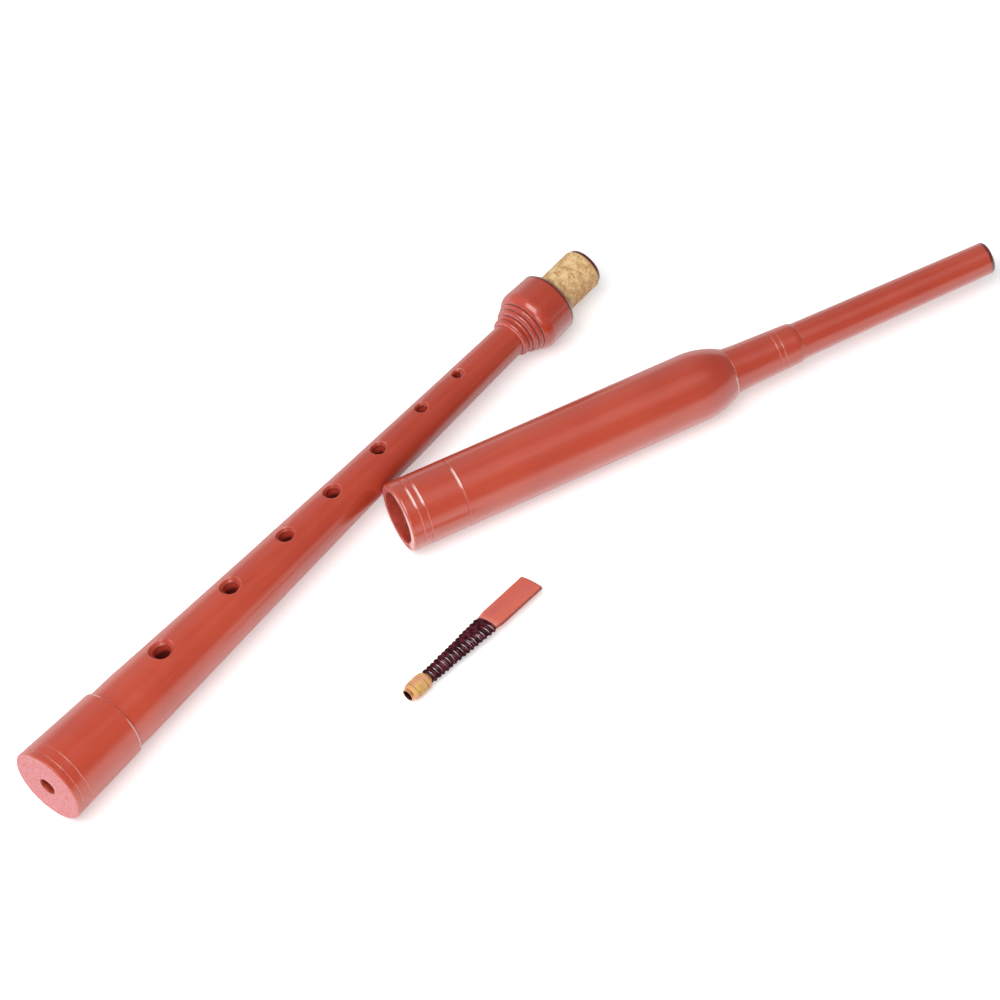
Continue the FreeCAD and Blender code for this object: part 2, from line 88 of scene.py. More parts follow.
class TurnedWoodSettings(bpy.types.PropertyGroup):
    bright_red: colour("Bright red", "Lacquered wood where the stain is thin", 196, 74, 50)
    deep_red: colour("Deep red", "Lacquered wood where the stain is thick", 185, 64, 43)
    # Flat ends: sanded pale, with a painted sheen and cooler lilac patches of painted reflection
    end_sheen_pink: colour("Sanded ends", "Flat turned ends, rubbed pale", 220, 138, 136)
    end_sheen_lilac: colour("Sanded end patches", "Cooler patches of the flat ends", 226, 162, 170)
    # Painted highlight: the pale streaks on the mouth's lip and along rings and grooves
    highlight_pink: colour("Bare wood", "Lip and rings that are rubbed to the bare wood", 255, 230, 222)
    # Pale open edges: partly wear, partly painted highlight
    edge_wear_and_highlight_pink: colour("Worn edges", "Turned edges and grooves, rubbed pale", 244, 170, 154)
    # Also the painted shade in the finger holes' bowls and the darker red of the chanter's upper
    # half
    bore_and_shade_red: colour("Bore", "Inside of the bores, unpolished", 150, 50, 36)
    # Painted shade: the colour that crevices and the depths of the finger holes are darkened
    # towards
    crevice_shade_red: colour("Crevices", "Gaps between the rings, dark with wax", 112, 32, 26)
    hole_red: colour("Finger holes", "Walls of the finger holes, below their bowls", 206, 74, 56)
    # Darker red at the ends: painted shade on the bulb's end; the tenon's lip and the stem's tip
    # darker
    end_dark_red: colour("Waxed ends", "Rounded ends, darkened by wax", 92, 28, 28)
    edge_width: length("Worn width", "How far the wear reaches from an edge", 0.3 * mm)
    sole_length: length("Sole", "From the sole's face to its step", 27.3 * mm)
    crevice_depth: length("Crevice depth", "How near a facing wall darkens the lacquer", 1.4 * mm)
    bowl_depth: length("Bowl depth", "How deep the polish goes into a finger hole", 1.25 * mm)
    roughness: share("Roughness", "How dull the lacquer is", 0.34)
    polish: share("Polish", "How dull the clear polish over it is", 0.2)


class CorkSettings(bpy.types.PropertyGroup):
    pale: colour("Pale cork", "The cork between its pores", 240, 208, 152)
    dark: colour("Dark cork", "Browner grains of the cork", 204, 152, 98)
    pore: colour("Pores", "The deepest pores", 140, 92, 58)
    pore_depth: length("Pore depth", "How deep the pores are", 0.14 * mm)
    roughness: share("Roughness", "How dull the cork is", 0.78)


class HempSettings(bpy.types.PropertyGroup):
    golden: colour("Golden hemp", "Waxed hemp in the light", 221, 179, 98)
    rosy: colour("Rosy hemp", "Hemp stained by the lacquer of the seat", 224, 160, 118)
    # Painted shade between the turns, and darker fibres
    fibre_and_gap_shade_brown: colour("Brown hemp", "Waxed hemp between the turns", 92, 52, 26)
    strand: length("Strand", "Thickness of one strand of hemp", 0.56 * mm)


class ReedSettings(bpy.types.PropertyGroup):
    blade_red: colour("Blade", "Moulded blade of the reed", 217, 108, 86)
    blade_rose: colour("Blade streaks", "Rosy streaks along the blade", 205, 104, 102)
    blade_pale: colour("Blade root", "Paler blade beside the binding", 250, 168, 150)
    blade_edge: colour("Blade edges", "Dark thin edges of the blade", 118, 34, 32)
    thread_dark: colour("Thread", "Waxed thread of the binding", 50, 17, 24)
    thread_rose: colour("Thread tint", "Redder stretches of the thread", 116, 46, 60)
    staple_copper: colour("Staple", "Outside of the staple", 226, 160, 112)
    staple_dark: colour("Staple inside", "Tarnished inside of the staple", 74, 28, 22)
    root_place: length("Blade root", "Where the blades begin, from the staple's open end", 18 * mm)
    mouth_place: length("Binding's mouth", "Where the binding is widest", 33 * mm)
    start_half: length("Start", "Half thickness under the first turn", 1.63 * mm)
    root_half_width: length("Root half width", "Half width under the thread there", 2.1 * mm)
    root_half_height: length("Root half height", "Half height under the thread there", 1.72 * mm)
    mouth_half_width: length("Mouth half width", "Half width under the thread there", 3.55 * mm)
    mouth_half_height: length("Mouth half height", "Half height under the thread there", 1.26 * mm)
    cord_radius: length("Cord", "Radius of the raised cord", 0.36 * mm)
    under_radius: length("Under-thread", "Radius of the fine thread under the cord", 0.17 * mm)
    cord_turns: IntProperty(name="Cord turns", description="Raised turns of the binding",
                            default=15, min=1)


class StageSettings(bpy.types.PropertyGroup):
    camera_distance: length("Distance", "From the camera to the point it looks at", 1.6079)
    camera_azimuth: angle("Azimuth", "Where the camera stands round the object", -46.74)
    camera_elevation: angle("Elevation", "How high the camera looks down from", 53.86)
    camera_roll: angle("Roll", "How far the camera leans", -4.27)
    camera_aim_x: FloatProperty(name="Aim X", description="Where the camera looks", unit="LENGTH",
                                default=3.13 * mm)
    camera_aim_y: FloatProperty(name="Aim Y", description="Where the camera looks", unit="LENGTH",
                                default=12.23 * mm)
    focal_share: FloatProperty(name="Focal length", default=5.4739,
                               description="Focal length in widths of the picture")
    floor_grey: colour("Floor", "Plain pale floor", 242, 242, 242)
    room_grey: colour("Room", "The dim room above the white backdrop", 118, 118, 118)
    window_grey: colour("Window side", "The room's lighter side, beyond the chanter", 190, 190, 194)
    ceiling_grey: colour("Ceiling", "Soft light on the ceiling, overhead", 206, 206, 206)
    backdrop_height: share("Backdrop", "Height of the white backdrop, as an angle's sine", 0.13)
    key_power: FloatProperty(name="Key", description="Power of the softbox overhead",
                             default=13, min=0, unit="POWER")
    side_power: FloatProperty(name="Side", description="Power of the softbox beyond the sole",
                              default=2.6, min=0, unit="POWER")


# Places read from the frame

def mount(name):
    """One of the part's mounts, by its name."""
    return next(m for m in frame["record"]["mounts"] if m["name"] == name)


def axes_at(origin, along, across=None):
    """A matrix whose X runs along an axis, with Y across it and level unless it is given."""
    along = Vector(along).normalized()
    if across is None:
        across = Vector((0, 0, 1)).cross(along)
    across = (across - along * across.dot(along)).normalized()
    axes = Matrix((along, across, along.cross(across))).transposed().to_4x4()
    axes.translation = Vector(origin)
    return axes


def places(node, axes):
    """A node's points in the axes' own coordinates."""
    inverse = axes.inverted()
    return [inverse @ v.co for v in frame["nodes"][node].data.vertices]


def reach_along(node, axes):
    """Lowest and highest place of a node along the axes' X."""
    along = [p.x for p in places(node, axes)]
    return min(along), max(along)


def radii(node, axes):
    """Least and greatest distance of a node's points from the axes' X."""
    out = [math.hypot(p.y, p.z) for p in places(node, axes)]
    return min(out), max(out)


def radius_at(node, axes, place):
    """How far a turned node reaches from the axes' X at a place between its rings of points."""
    step = 0.5 * mm
    rings = {}
    for p in places(node, axes):
        ring = round(p.x / step)
        rings[ring] = max(rings.get(ring, 0), math.hypot(p.y, p.z))
    before = max(r for r in rings if r * step <= place)
    after = min(r for r in rings if r * step > place)
    past = (place / step - before) / (after - before)
    return rings[before] + (rings[after] - rings[before]) * past


def axes_from(mount_name, node, way=1):
    """Axes along a mount's line, or against it where way is -1, from where a node starts."""
    m = mount(mount_name)
    axes = axes_at(m["pos_m"], Vector(m["axis"]) * way)
    axes.translation = axes @ Vector((reach_along(node, axes)[0], 0, 0))
    return axes


def chanter_axes():
    """Along the chanter from its sole's face."""
    return axes_from("chanter_tenon", "chanter_body")


def top_axes():
    """Along the top joint from the barrel's mouth."""
    return axes_from("barrel_socket", "top_barrel", way=-1)


def reed_axes():
    """Along the reed from the staple's open end, with Y across the flat of the blades."""
    level = axes_from("reed_base", "reed_staple", way=-1)
    blade = places("reed_blade_upper", level)
    tip = max(p.x for p in blade)
    corners = [p for p in blade if tip - p.x < 0.1 * mm]
    widest = max((a - b for a in corners for b in corners), key=lambda d: d.length)
    across = level.to_3x3() @ widest
    if across.dot(level.col[1].to_3d()) < 0:
        across = -across
    return axes_at(level.translation, level.col[0].to_3d(), across)


# Node materials

class Nodes:
    """A short way to write a node tree: each call adds a node and joins its inputs."""

    def __init__(self, tree):
        self.tree = tree

    def fill(self, socket, value):
        """Joins another node's output to a socket, or sets the socket's own value."""
        if isinstance(value, bpy.types.NodeSocket):
            self.tree.links.new(value, socket)
        else:
            socket.default_value = value

    def add(self, kind, output=0, inputs=None, **settings):
        """One output of a new node."""
        node = self.tree.nodes.new(kind)
        for name, value in settings.items():
            setattr(node, name, value)
        for name, value in (inputs or {}).items():
            self.fill(node.inputs[name], value)
        return node.outputs[output]

    def math(self, operation, *values):
        """The result of one sum on values."""
        return self.add("ShaderNodeMath", operation=operation, inputs=dict(enumerate(values)))

    def product(self, first, *others):
        """Values multiplied together."""
        for other in others:
            first = self.math("MULTIPLY", first, other)
        return first

    def highest(self, first, *others):
        """The highest of some values."""
        for other in others:
            first = self.math("MAXIMUM", first, other)
        return first

    def keep_off(self, value, mask):
        """A value that falls to 0 where the mask rises to 1."""
        return self.product(value, self.math("SUBTRACT", 1, mask))

    def pair_dot(self, first, second):
        """The dot product of two pairs of values."""
        return self.math("MULTIPLY_ADD", first[0], second[0], self.product(first[1], second[1]))

    def dot(self, first, second):
        """The dot product of two directions, 1 where they are the same."""
        return self.add("ShaderNodeVectorMath", output=1, operation="DOT_PRODUCT",
                        inputs={0: first, 1: second})

    def band(self, value, low, high):
        """0 at low, 1 at high, and smooth between them."""
        return self.add("ShaderNodeMapRange", interpolation_type="SMOOTHSTEP",
                        inputs={"Value": value, "From Min": low, "From Max": high})

    def between(self, value, low, high, soft):
        """1 between low and high, and soft at both ends."""
        return self.product(self.band(value, low - soft, low), self.band(value, high + soft, high))

    def mix(self, factor, first, second):
        """The first colour where the factor is 0, and the second where it is 1."""
        return self.add("ShaderNodeMix", output=2, data_type="RGBA",
                        inputs={0: factor, 6: first, 7: second})

    def noise(self, place, scale, detail=2.0, roughness=0.5):
        """Noise with a scale in waves for each metre, or with one such scale along each axis."""
        if isinstance(scale, tuple):
            place = self.add("ShaderNodeMapping", inputs={"Vector": place, "Scale": scale})
            scale = 1
        return self.add("ShaderNodeTexNoise", inputs={
            "Vector": place, "Scale": scale, "Detail": detail, "Roughness": roughness})

    def split(self, vector):
        """A vector's three parts."""
        node = self.tree.nodes.new("ShaderNodeSeparateXYZ")
        self.tree.links.new(vector, node.inputs[0])
        return node.outputs[:]

    def place_along(self, axes):
        """Object coordinates turned so that X runs along the axes, from their origin."""
        inverse = axes.inverted()
        return self.add("ShaderNodeMapping", inputs={
            "Vector": self.add("ShaderNodeTexCoord", output=3),
            "Rotation": inverse.to_euler(), "Location": inverse.translation})

    def normal(self):
        """The direction that the surface faces."""
        return self.add("ShaderNodeNewGeometry", output=1)

    def normal_along(self, axes):
        """The direction that the surface faces, turned so that X runs along the axes."""
        return self.add("ShaderNodeMapping", vector_type="VECTOR", inputs={
            "Vector": self.normal(), "Rotation": axes.inverted().to_euler()})

    def edges(self, width):
        """1 along the edges of the shape, 0 away from them, and the normal softened over them."""
        softened = self.add("ShaderNodeBevel", samples=8, inputs={"Radius": width})
        turned_by = self.math("SUBTRACT", 1, self.dot(self.normal(), softened))
        return self.band(turned_by, 0.012, 0.07), softened

    def open_share(self, distance):
        """1 in the open, and nearer to 0 where the same piece has walls within the distance."""
        return self.add("ShaderNodeAmbientOcclusion", output=1, samples=8, only_local=True,
                        inputs={"Distance": distance})

    def bump(self, height, distance, normal=None):
        """A normal that follows a height of 0 to 1, as deep as the distance."""
        inputs = {"Height": height, "Distance": distance, "Strength": 1}
        if normal is not None:
            inputs["Normal"] = normal
        return self.add("ShaderNodeBump", inputs=inputs)


def new_material(name):
    """An empty node material, with its shader joined to the output."""
    material = bpy.data.materials.new(name)
    material.use_nodes = True
    tree = material.node_tree
    tree.nodes.clear()
    shader = tree.nodes.new("ShaderNodeBsdfPrincipled")
    output = tree.nodes.new("ShaderNodeOutputMaterial")
    tree.links.new(shader.outputs[0], output.inputs["Surface"])
    return material, Nodes(tree), shader


def connect(nodes, shader, **values):
    """Sets the shader's sockets by name, with links where a value is another node's output."""
    for name, value in values.items():
        nodes.fill(shader.inputs[name.replace("_", " ")], value)


def dress(node, material):
    """Gives a carried-over node its material."""
    materials = frame["nodes"][node].data.materials
    materials.clear()
    materials.append(material)


# Turned wood

# Darker red between two places along a piece, soft at both ends
Waxed = namedtuple("Waxed", "first last soft strength")

# The stretch of the tube that has finger holes, and the tube's radius at its ends
HoledTube = namedtuple("HoledTube", "near near_radius far far_radius")

# A darker red that grows from first to last and has gone again at until
Shade = namedtuple("Shade", "first last until strength")

# A ring with a painted highlight on one side, with its angle and spread in degrees
HighlightRing = namedtuple("HighlightRing", "middle half_width angle spread strength")

# A painted highlight on a mouth's lip, as deep along the piece and out to a radius
LipHighlight = namedtuple("LipHighlight", "depth radius")

HOLES_AFTER_SOLE = 30 * mm
HOLES_BEFORE_CORK = 47 * mm
SHADE_FIRST = 110 * mm
SHADE_LAST = 195 * mm
SHADE_FADING = 8 * mm
SHADE_BEFORE_CORK = 10 * mm
GLOSS_BEFORE_CORK = 14 * mm
GLOSS_FADING = 4 * mm
RING_SOFTNESS = 0.15 * mm
HAZE_DEPTH = 0.004 * mm
# Painted shade on the bulb's end; the tenon's lip and the stem's tip darker
BULB_END_SHADE = 1.7 * mm
TENON_LIP_DARK = 5 * mm
STEM_TIP_DARK = 1.2 * mm
BARREL_GROOVES = (3.6 * mm, 6 * mm, 18.4 * mm)
# Painted highlight on the barrel's lip
BARREL_LIP = LipHighlight(depth=0.3 * mm, radius=10.1 * mm)


class TurnedSurface:
    """The places, sides and edges of a turned piece, and the colours painted by them."""

    def __init__(self, nodes, axes, settings):
        self.nodes = nodes
        self.settings = settings
        self.place = nodes.place_along(axes)
        self.x, *self.side = nodes.split(self.place)
        normal_x, *normal_side = nodes.split(nodes.normal_along(axes))
        self.normal_y = normal_side[0]
        self.distance = nodes.math("SQRT", nodes.pair_dot(self.side, self.side))
        outward = nodes.math("DIVIDE", nodes.pair_dot(normal_side, self.side), self.distance)
        self.inside = nodes.band(nodes.product(outward, -1), 0.25, 0.5)
        self.end = nodes.band(nodes.math("ABSOLUTE", normal_x), 0.94, 0.99)
        self.edge, self.softened = nodes.edges(settings.edge_width)
        self.open_share = nodes.open_share(settings.crevice_depth)

    def stained(self):
        """Red stain, thicker in clouds and along the grain."""
        nodes, settings = self.nodes, self.settings
        clouds = nodes.noise(self.place, 45)
        streaks = nodes.noise(self.place, (40, 1200, 1200))
        grain = nodes.math("MULTIPLY_ADD", clouds, 0.7, nodes.product(streaks, 0.3))
        return nodes.mix(nodes.band(grain, 0.3, 0.7), settings.deep_red, settings.bright_red)

    def shaded(self, red, shade):
        """The red, darker along the chanter's upper half."""
        nodes = self.nodes
        darker = nodes.product(nodes.band(self.x, shade.first, shade.last),
                               nodes.band(self.x, shade.until, shade.until - SHADE_FADING),
                               shade.strength)
        return nodes.mix(darker, red, self.settings.bore_and_shade_red)

    def sanded(self):
        """The pale pink of a sanded end with a painted sheen, with lilac patches of painted
        reflection.
        """
        nodes, settings = self.nodes, self.settings
        sanding = nodes.band(nodes.noise(self.place, 420, detail=4, roughness=0.6), 0.25, 0.75)
        pale = nodes.mix(nodes.product(sanding, 0.4), settings.end_sheen_pink, settings.bright_red)
        patches = nodes.band(nodes.noise(self.place, 1100, detail=3), 0.3, 0.8)
        return nodes.mix(patches, pale, settings.end_sheen_lilac)

    def bored(self, red):
        """The red with the inside of the bores, unpolished and brighter in patches."""
        nodes, settings = self.nodes, self.settings
        patches = nodes.product(nodes.band(nodes.noise(self.place, 700, detail=3), 0.5, 0.62), 0.3)
        bore = nodes.mix(patches, settings.bore_and_shade_red, settings.bright_red)
        return nodes.mix(self.inside, red, bore)

    def lip_highlight(self, red, lip):
        """The red with a painted highlight on one side of the mouth's lip."""
        nodes = self.nodes
        at_mouth = nodes.product(
            nodes.band(self.x, lip.depth * 1.3, lip.depth),
            nodes.band(self.distance, lip.radius + 0.4 * mm, lip.radius - 0.3 * mm))
        patchy = nodes.product(nodes.band(nodes.noise(self.place, 160, detail=3), 0.2, 0.5), 0.9)
        below = nodes.band(nodes.pair_dot(self.side, (-0.87, 0.5)), 1.5 * mm, 6 * mm)
        return nodes.mix(nodes.product(at_mouth, patchy, below), red, self.settings.highlight_pink)

    def holed(self, red, tube):
        """The red with its finger holes: painted shade in their bowls, and walls below that darken
        with depth as painted shade.
        """
        nodes, settings = self.nodes, self.settings
        bowl_depth = settings.bowl_depth
        bowl_floor = nodes.add("ShaderNodeMapRange", clamp=True, inputs={
            "Value": self.x, "From Min": tube.near, "From Max": tube.far,
            "To Min": tube.near_radius - bowl_depth, "To Max": tube.far_radius - bowl_depth})
        sunk = nodes.math("SUBTRACT", bowl_floor, self.distance)
        on_tube = nodes.between(self.x, tube.near + 1 * mm, tube.far - 1 * mm, 1 * mm)
        in_bowl = nodes.band(sunk, 0.3 * mm - bowl_depth, 0.7 * mm - bowl_depth)
        bowl = nodes.product(on_tube, in_bowl)
        hole = nodes.product(on_tube, nodes.band(sunk, -0.1 * mm, 0.2 * mm))
        wall = nodes.mix(nodes.band(sunk, 0.1 * mm, 0.9 * mm), settings.bore_and_shade_red, settings.hole_red)
        # Painted shade: the walls darken deeper into each hole
        wall = nodes.mix(nodes.band(sunk, 1.4 * mm, 3.2 * mm), wall, settings.crevice_shade_red)
        # Painted shade: the bowls are darkened
        red = nodes.mix(nodes.product(bowl, 0.4), red, settings.bore_and_shade_red)
        return nodes.mix(hole, red, wall), bowl, hole

    def wear_and_highlight(self):
        """How pale the open edges are, partly as wear and partly as painted highlight, more in some
        patches than in others.
        """
        nodes = self.nodes
        rubbed = nodes.band(nodes.noise(self.place, (100, 260, 260), detail=3), 0.32, 0.68)
        return nodes.product(self.edge, nodes.band(self.open_share, 0.4, 0.6), rubbed, 0.7)

    # Painted highlight, on one side of the ring only
    def rubbed(self, red, ring):
        """The red with a painted highlight along one side of a ring."""
        nodes = self.nodes
        angle, spread = math.radians(ring.angle), math.radians(ring.spread)
        toward = nodes.pair_dot(self.side, (math.sin(angle), math.cos(angle)))
        sector = nodes.band(nodes.math("DIVIDE", toward, self.distance),
                            math.cos(spread + 0.15), math.cos(spread - 0.1))
        line = nodes.between(self.x, ring.middle - ring.half_width,
                             ring.middle + ring.half_width, RING_SOFTNESS)
        return nodes.mix(nodes.product(line, sector, ring.strength), red, self.settings.highlight_pink)


def turned_wood(name, axes, settings, dark_bands=(), holed_tube=None, shade=None, highlight_rings=(),
                lip_highlight=None, end_share=0.94, glossy_from=0.0, polish_ior=1.7):
    """Red lacquer over turned wood, with pale edges of wear and painted highlight, painted shade in
    its crevices and holes, and a clear polish.
    """
    material, nodes, shader = new_material(name)
    turned = TurnedSurface(nodes, axes, settings)

    red = turned.stained()
    if shade is not None:
        red = turned.shaded(red, shade)
    # Flat ends take the sanded pale pink and its painted sheen
    red = nodes.mix(nodes.product(turned.end, end_share), red, turned.sanded())
    red = turned.bored(red)
    # Painted highlight on one side of the mouth's lip
    if lip_highlight is not None:
        red = turned.lip_highlight(red, lip_highlight)
    # Painted shade: where walls of the same piece are near, the red is darkened towards the crevice
    # colour
    deep = nodes.band(turned.open_share, 0.5, 0.15)
    red = nodes.mix(nodes.product(deep, 0.9), red, settings.crevice_shade_red)
    unpolished = nodes.highest(turned.inside, deep)
    if holed_tube is not None:
        red, bowl, hole = turned.holed(red, holed_tube)
        # Painted shade fills the finger holes as well
        deep = nodes.highest(deep, hole)
        unpolished = nodes.highest(unpolished, deep, nodes.product(bowl, 0.45))
    wear_and_highlight = nodes.keep_off(turned.wear_and_highlight(), deep)
    # Darker bands: painted shade at the bulb's end, darker red elsewhere
    for wax in dark_bands:
        dark = nodes.product(nodes.between(turned.x, wax.first, wax.last, wax.soft), wax.strength)
        red = nodes.mix(dark, red, settings.end_dark_red)
        wear_and_highlight = nodes.keep_off(wear_and_highlight, dark)
    # Open edges are paled: wear and painted highlight
    red = nodes.mix(wear_and_highlight, red, settings.edge_wear_and_highlight_pink)
    # Painted highlights along rings and grooves
    for ring in highlight_rings:
        red = turned.rubbed(red, ring)

    haze = nodes.noise(turned.place, (120, 400, 400), detail=4)
    surface = nodes.bump(haze, HAZE_DEPTH, normal=turned.softened)
    dull = nodes.math("MULTIPLY_ADD", haze, 0.1, settings.roughness - 0.05)
    dull = nodes.math("MULTIPLY_ADD", nodes.highest(turned.end, unpolished), 0.35, dull)
    steep = nodes.add("ShaderNodeLayerWeight", output=1, inputs={"Blend": 0.5})
    glossy = nodes.product(nodes.band(turned.x, glossy_from - GLOSS_FADING, glossy_from),
                           nodes.band(turned.normal_y, 0.1, -0.3),
                           nodes.band(steep, 1.05, 0.65))
    unpolished = nodes.highest(nodes.product(turned.end, 0.8), unpolished)
    polished = nodes.keep_off(nodes.highest(nodes.band(steep, 0.92, 0.35), glossy), unpolished)
    connect(nodes, shader, Base_Color=red, Roughness=dull, Normal=surface, IOR=1.45,
            Specular_IOR_Level=0.25, Coat_Weight=polished, Coat_Roughness=settings.polish,
            Coat_IOR=polish_ior, Coat_Normal=surface)
    return material


def chanter_lacquer(settings):
    """Lacquer of the chanter, with its holes, its darker upper half, painted shade on the bulb's
    end, a darker tenon lip and painted highlights along its sole's step.
    """
    axes = chanter_axes()
    cork_start, cork_end = reach_along("tenon_cork", axes)
    near, far = HOLES_AFTER_SOLE, cork_start - HOLES_BEFORE_CORK
    holed_tube = HoledTube(near, radius_at("chanter_body", axes, near),
                           far, radius_at("chanter_body", axes, far))
    # Painted shade on the bulb's rounded end, the bulb darker towards the cork, and the tenon's lip
    # darker
    dark_bands = (Waxed(cork_start - BULB_END_SHADE, cork_start, soft=0.3 * mm, strength=0.85),
             Waxed(cork_start - 4 * mm, cork_start, soft=9 * mm, strength=0.1),
             Waxed(cork_end, cork_end + TENON_LIP_DARK, soft=0.2 * mm, strength=0.95))
    step = settings.sole_length - 0.1 * mm
    # Painted highlights along the sole's step
    rings = (HighlightRing(step, 0.3 * mm, angle=-70, spread=28, strength=0.35),
             HighlightRing(step, 0.2 * mm, angle=28, spread=6, strength=0.4))
    shade = Shade(SHADE_FIRST, SHADE_LAST, cork_start - SHADE_BEFORE_CORK, strength=0.2)
    return turned_wood("red_lacquer_chanter", axes, settings, dark_bands, holed_tube, shade, rings,
                       glossy_from=cork_start - GLOSS_BEFORE_CORK, polish_ior=1.6)


def barrel_lacquer(axes, settings):
    """Lacquer of the barrel, with its rubbed grooves and its bare lip."""
    # Painted highlights on the barrel's grooves and the dome's end
    rings = [HighlightRing(groove, 0.3 * mm, angle=-12, spread=15, strength=0.7)
             for groove in BARREL_GROOVES]
    dome_end = reach_along("top_barrel", axes)[1] - 0.2 * mm
    rings.append(HighlightRing(dome_end, 0.3 * mm, angle=-80, spread=26, strength=0.6))
    return turned_wood("red_lacquer_barrel", axes, settings, highlight_rings=rings,
                       lip_highlight=BARREL_LIP, end_share=0.5)


class CHANTER_OT_turned_wood(bpy.types.Operator):
    """Finish the chanter, the barrel, the neck and the stem in red lacquer"""
    bl_idname = "chanter.turned_wood"
    bl_label = "Turned wood"

    def execute(self, context):
        settings = context.scene.chanter_wood
        dress("chanter_body", chanter_lacquer(settings))
        top = top_axes()
        dress("top_barrel", barrel_lacquer(top, settings))
        tip = reach_along("mouthpiece_stem", top)[1]
        tip_dark = Waxed(tip - STEM_TIP_DARK, tip, soft=0.3 * mm, strength=0.9)
        mouthpiece = turned_wood("red_lacquer_mouthpiece", top, settings, dark_bands=[tip_dark])
        dress("mouthpiece_neck", mouthpiece)
        dress("mouthpiece_stem", mouthpiece)
        return {"FINISHED"}


# Meshes

def mesh_object(name, vertices, faces, body, slot):
    """A smooth mesh piece that rides on a body, made from points in the row frame."""
    mesh = bpy.data.meshes.new(name)
    mesh.from_pydata([tuple(v) for v in vertices], [], faces)
    mesh.polygons.foreach_set("use_smooth", [True] * len(mesh.polygons))
    mesh.update()
    piece = bpy.data.objects.new(name, mesh)
    bpy.context.scene.collection.objects.link(piece)
    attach(piece, body)
    return piece


def ring_faces(rings, around):
    """Quads between rings of the same number of points, one after the other."""
    faces = []
    for i in range(rings - 1):
        for j in range(around):
            k = (j + 1) % around
            faces.append((i * around + j, (i + 1) * around + j,
                          (i + 1) * around + k, i * around + k))
    return faces


def tube(points, normals, radius, sides):
    """Points and faces of a round tube along a path, closed at its ends."""
    vertices = []
    for i, point in enumerate(points):
        ahead = points[min(i + 1, len(points) - 1)]
        behind = points[max(i - 1, 0)]
        forward = (ahead - behind).normalized()
        out = (normals[i] - forward * normals[i].dot(forward)).normalized()
        beside = forward.cross(out)
        for j in range(sides):
            turn = 2 * math.pi * j / sides
            vertices.append(point + (out * math.cos(turn) + beside * math.sin(turn)) * radius)
    faces = ring_faces(len(points), sides)
    faces.append(tuple(reversed(range(sides))))
    faces.append(tuple(range((len(points) - 1) * sides, len(points) * sides)))
    return vertices, faces


def joined(parts):
    """Several (vertices, faces) lists as one."""
    vertices = []
    faces = []
    for more_vertices, more_faces in parts:
        first = len(vertices)
        vertices += more_vertices
        faces += [tuple(first + i for i in face) for face in more_faces]
    return vertices, faces


class Wobble:
    """A smooth unevenness that comes from a few waves of seeded phase."""

    RATES_AND_SIZES = ((0.31, 1.0), (0.83, 0.7), (2.17, 0.5))

    def __init__(self, seed):
        source = random.Random(seed)
        self.waves = [(rate, size, source.uniform(0, 2 * math.pi))
                      for rate, size in self.RATES_AND_SIZES]

    def at(self, turn):
        """How far off the thread is after so many turns, as a share of its unevenness."""
        return sum(size * math.sin(2 * math.pi * rate * turn + phase)
                   for rate, size, phase in self.waves)


def winding(axes, start, end, turns, half_sizes, radius, seed, unevenness, hand=1, per_turn=40,
            sides=8):
    """A thread wound round the axes, with its centre line's half width and height at a place."""
    drift = Wobble(seed)
    lift = Wobble(seed + 100)
    centre = []
    outward = []
    for i in range(int(turns * per_turn) + 1):
        turn = i / per_turn
        s = start + (end - start) * turn / turns + drift.at(turn) * unevenness
        width, height = half_sizes(s)
        around = hand * 2 * math.pi * turn
        rise = lift.at(turn) * unevenness * 0.4
        direction = Vector((0, math.cos(around) / width, math.sin(around) / height)).normalized()
        point = Vector((s, width * math.cos(around), height * math.sin(around)))
        centre.append(point + direction * rise)
        outward.append(direction)
    vertices, faces = tube(centre, outward, radius, sides)
    return [axes @ v for v in vertices], faces


def sleeve(axes, outline, around):
    """A surface turned round the axes from (place, radius) points."""
    vertices = []
    for x, r in outline:
        for j in range(around):
            turn = 2 * math.pi * j / around
            vertices.append(axes @ Vector((x, r * math.cos(turn), r * math.sin(turn))))
    return vertices, ring_faces(len(outline), around)


# Cork

CORK_STEPS = 60
CORK_AROUND = 144
CORK_ROUNDING = 0.6 * mm
CORK_DENT = 0.018 * mm


def cork_material(axes, settings):
    """Sanded cork: pale and dark grains, and small dark pores."""
    material, nodes, shader = new_material("sanded_cork")
    place = nodes.place_along(axes)
    uneven = nodes.noise(place, 900, detail=3)
    patches = nodes.noise(place, (500, 330, 330))
    grains = nodes.noise(place, 1500, detail=4, roughness=0.65)
    tone = nodes.math("MULTIPLY_ADD", patches, 0.45, nodes.product(grains, 0.55))
    base = nodes.mix(nodes.band(tone, 0.38, 0.6), settings.dark, settings.pale)
    specks = nodes.noise(place, (2200, 1500, 1500), roughness=0.7)
    pores = nodes.product(nodes.band(specks, 0.6, 0.7), nodes.band(patches, 0.6, 0.4))
    base = nodes.mix(pores, base, settings.pore)
    height = nodes.math("SUBTRACT", nodes.product(uneven, 0.6), pores)
    connect(nodes, shader, Base_Color=base, Roughness=settings.roughness, IOR=1.45,
            Normal=nodes.bump(height, settings.pore_depth))
    return material


def cork_outline(start, end, inner, outer):
    """The sleeve's (place, radius) points, with its upper end rounded over."""
    corner = end - CORK_ROUNDING
    outline = [(start, inner + 0.2 * mm), (start, outer)]
    for i in range(1, CORK_STEPS):
        outline.append((start + (corner - start) * i / CORK_STEPS, outer))
    for i in range(7):
        turn = math.pi / 2 * i / 6
        outline.append((corner + CORK_ROUNDING * math.sin(turn),
                        outer - CORK_ROUNDING + CORK_ROUNDING * math.cos(turn)))
    outline.append((end, inner + 0.05 * mm))
    return outline


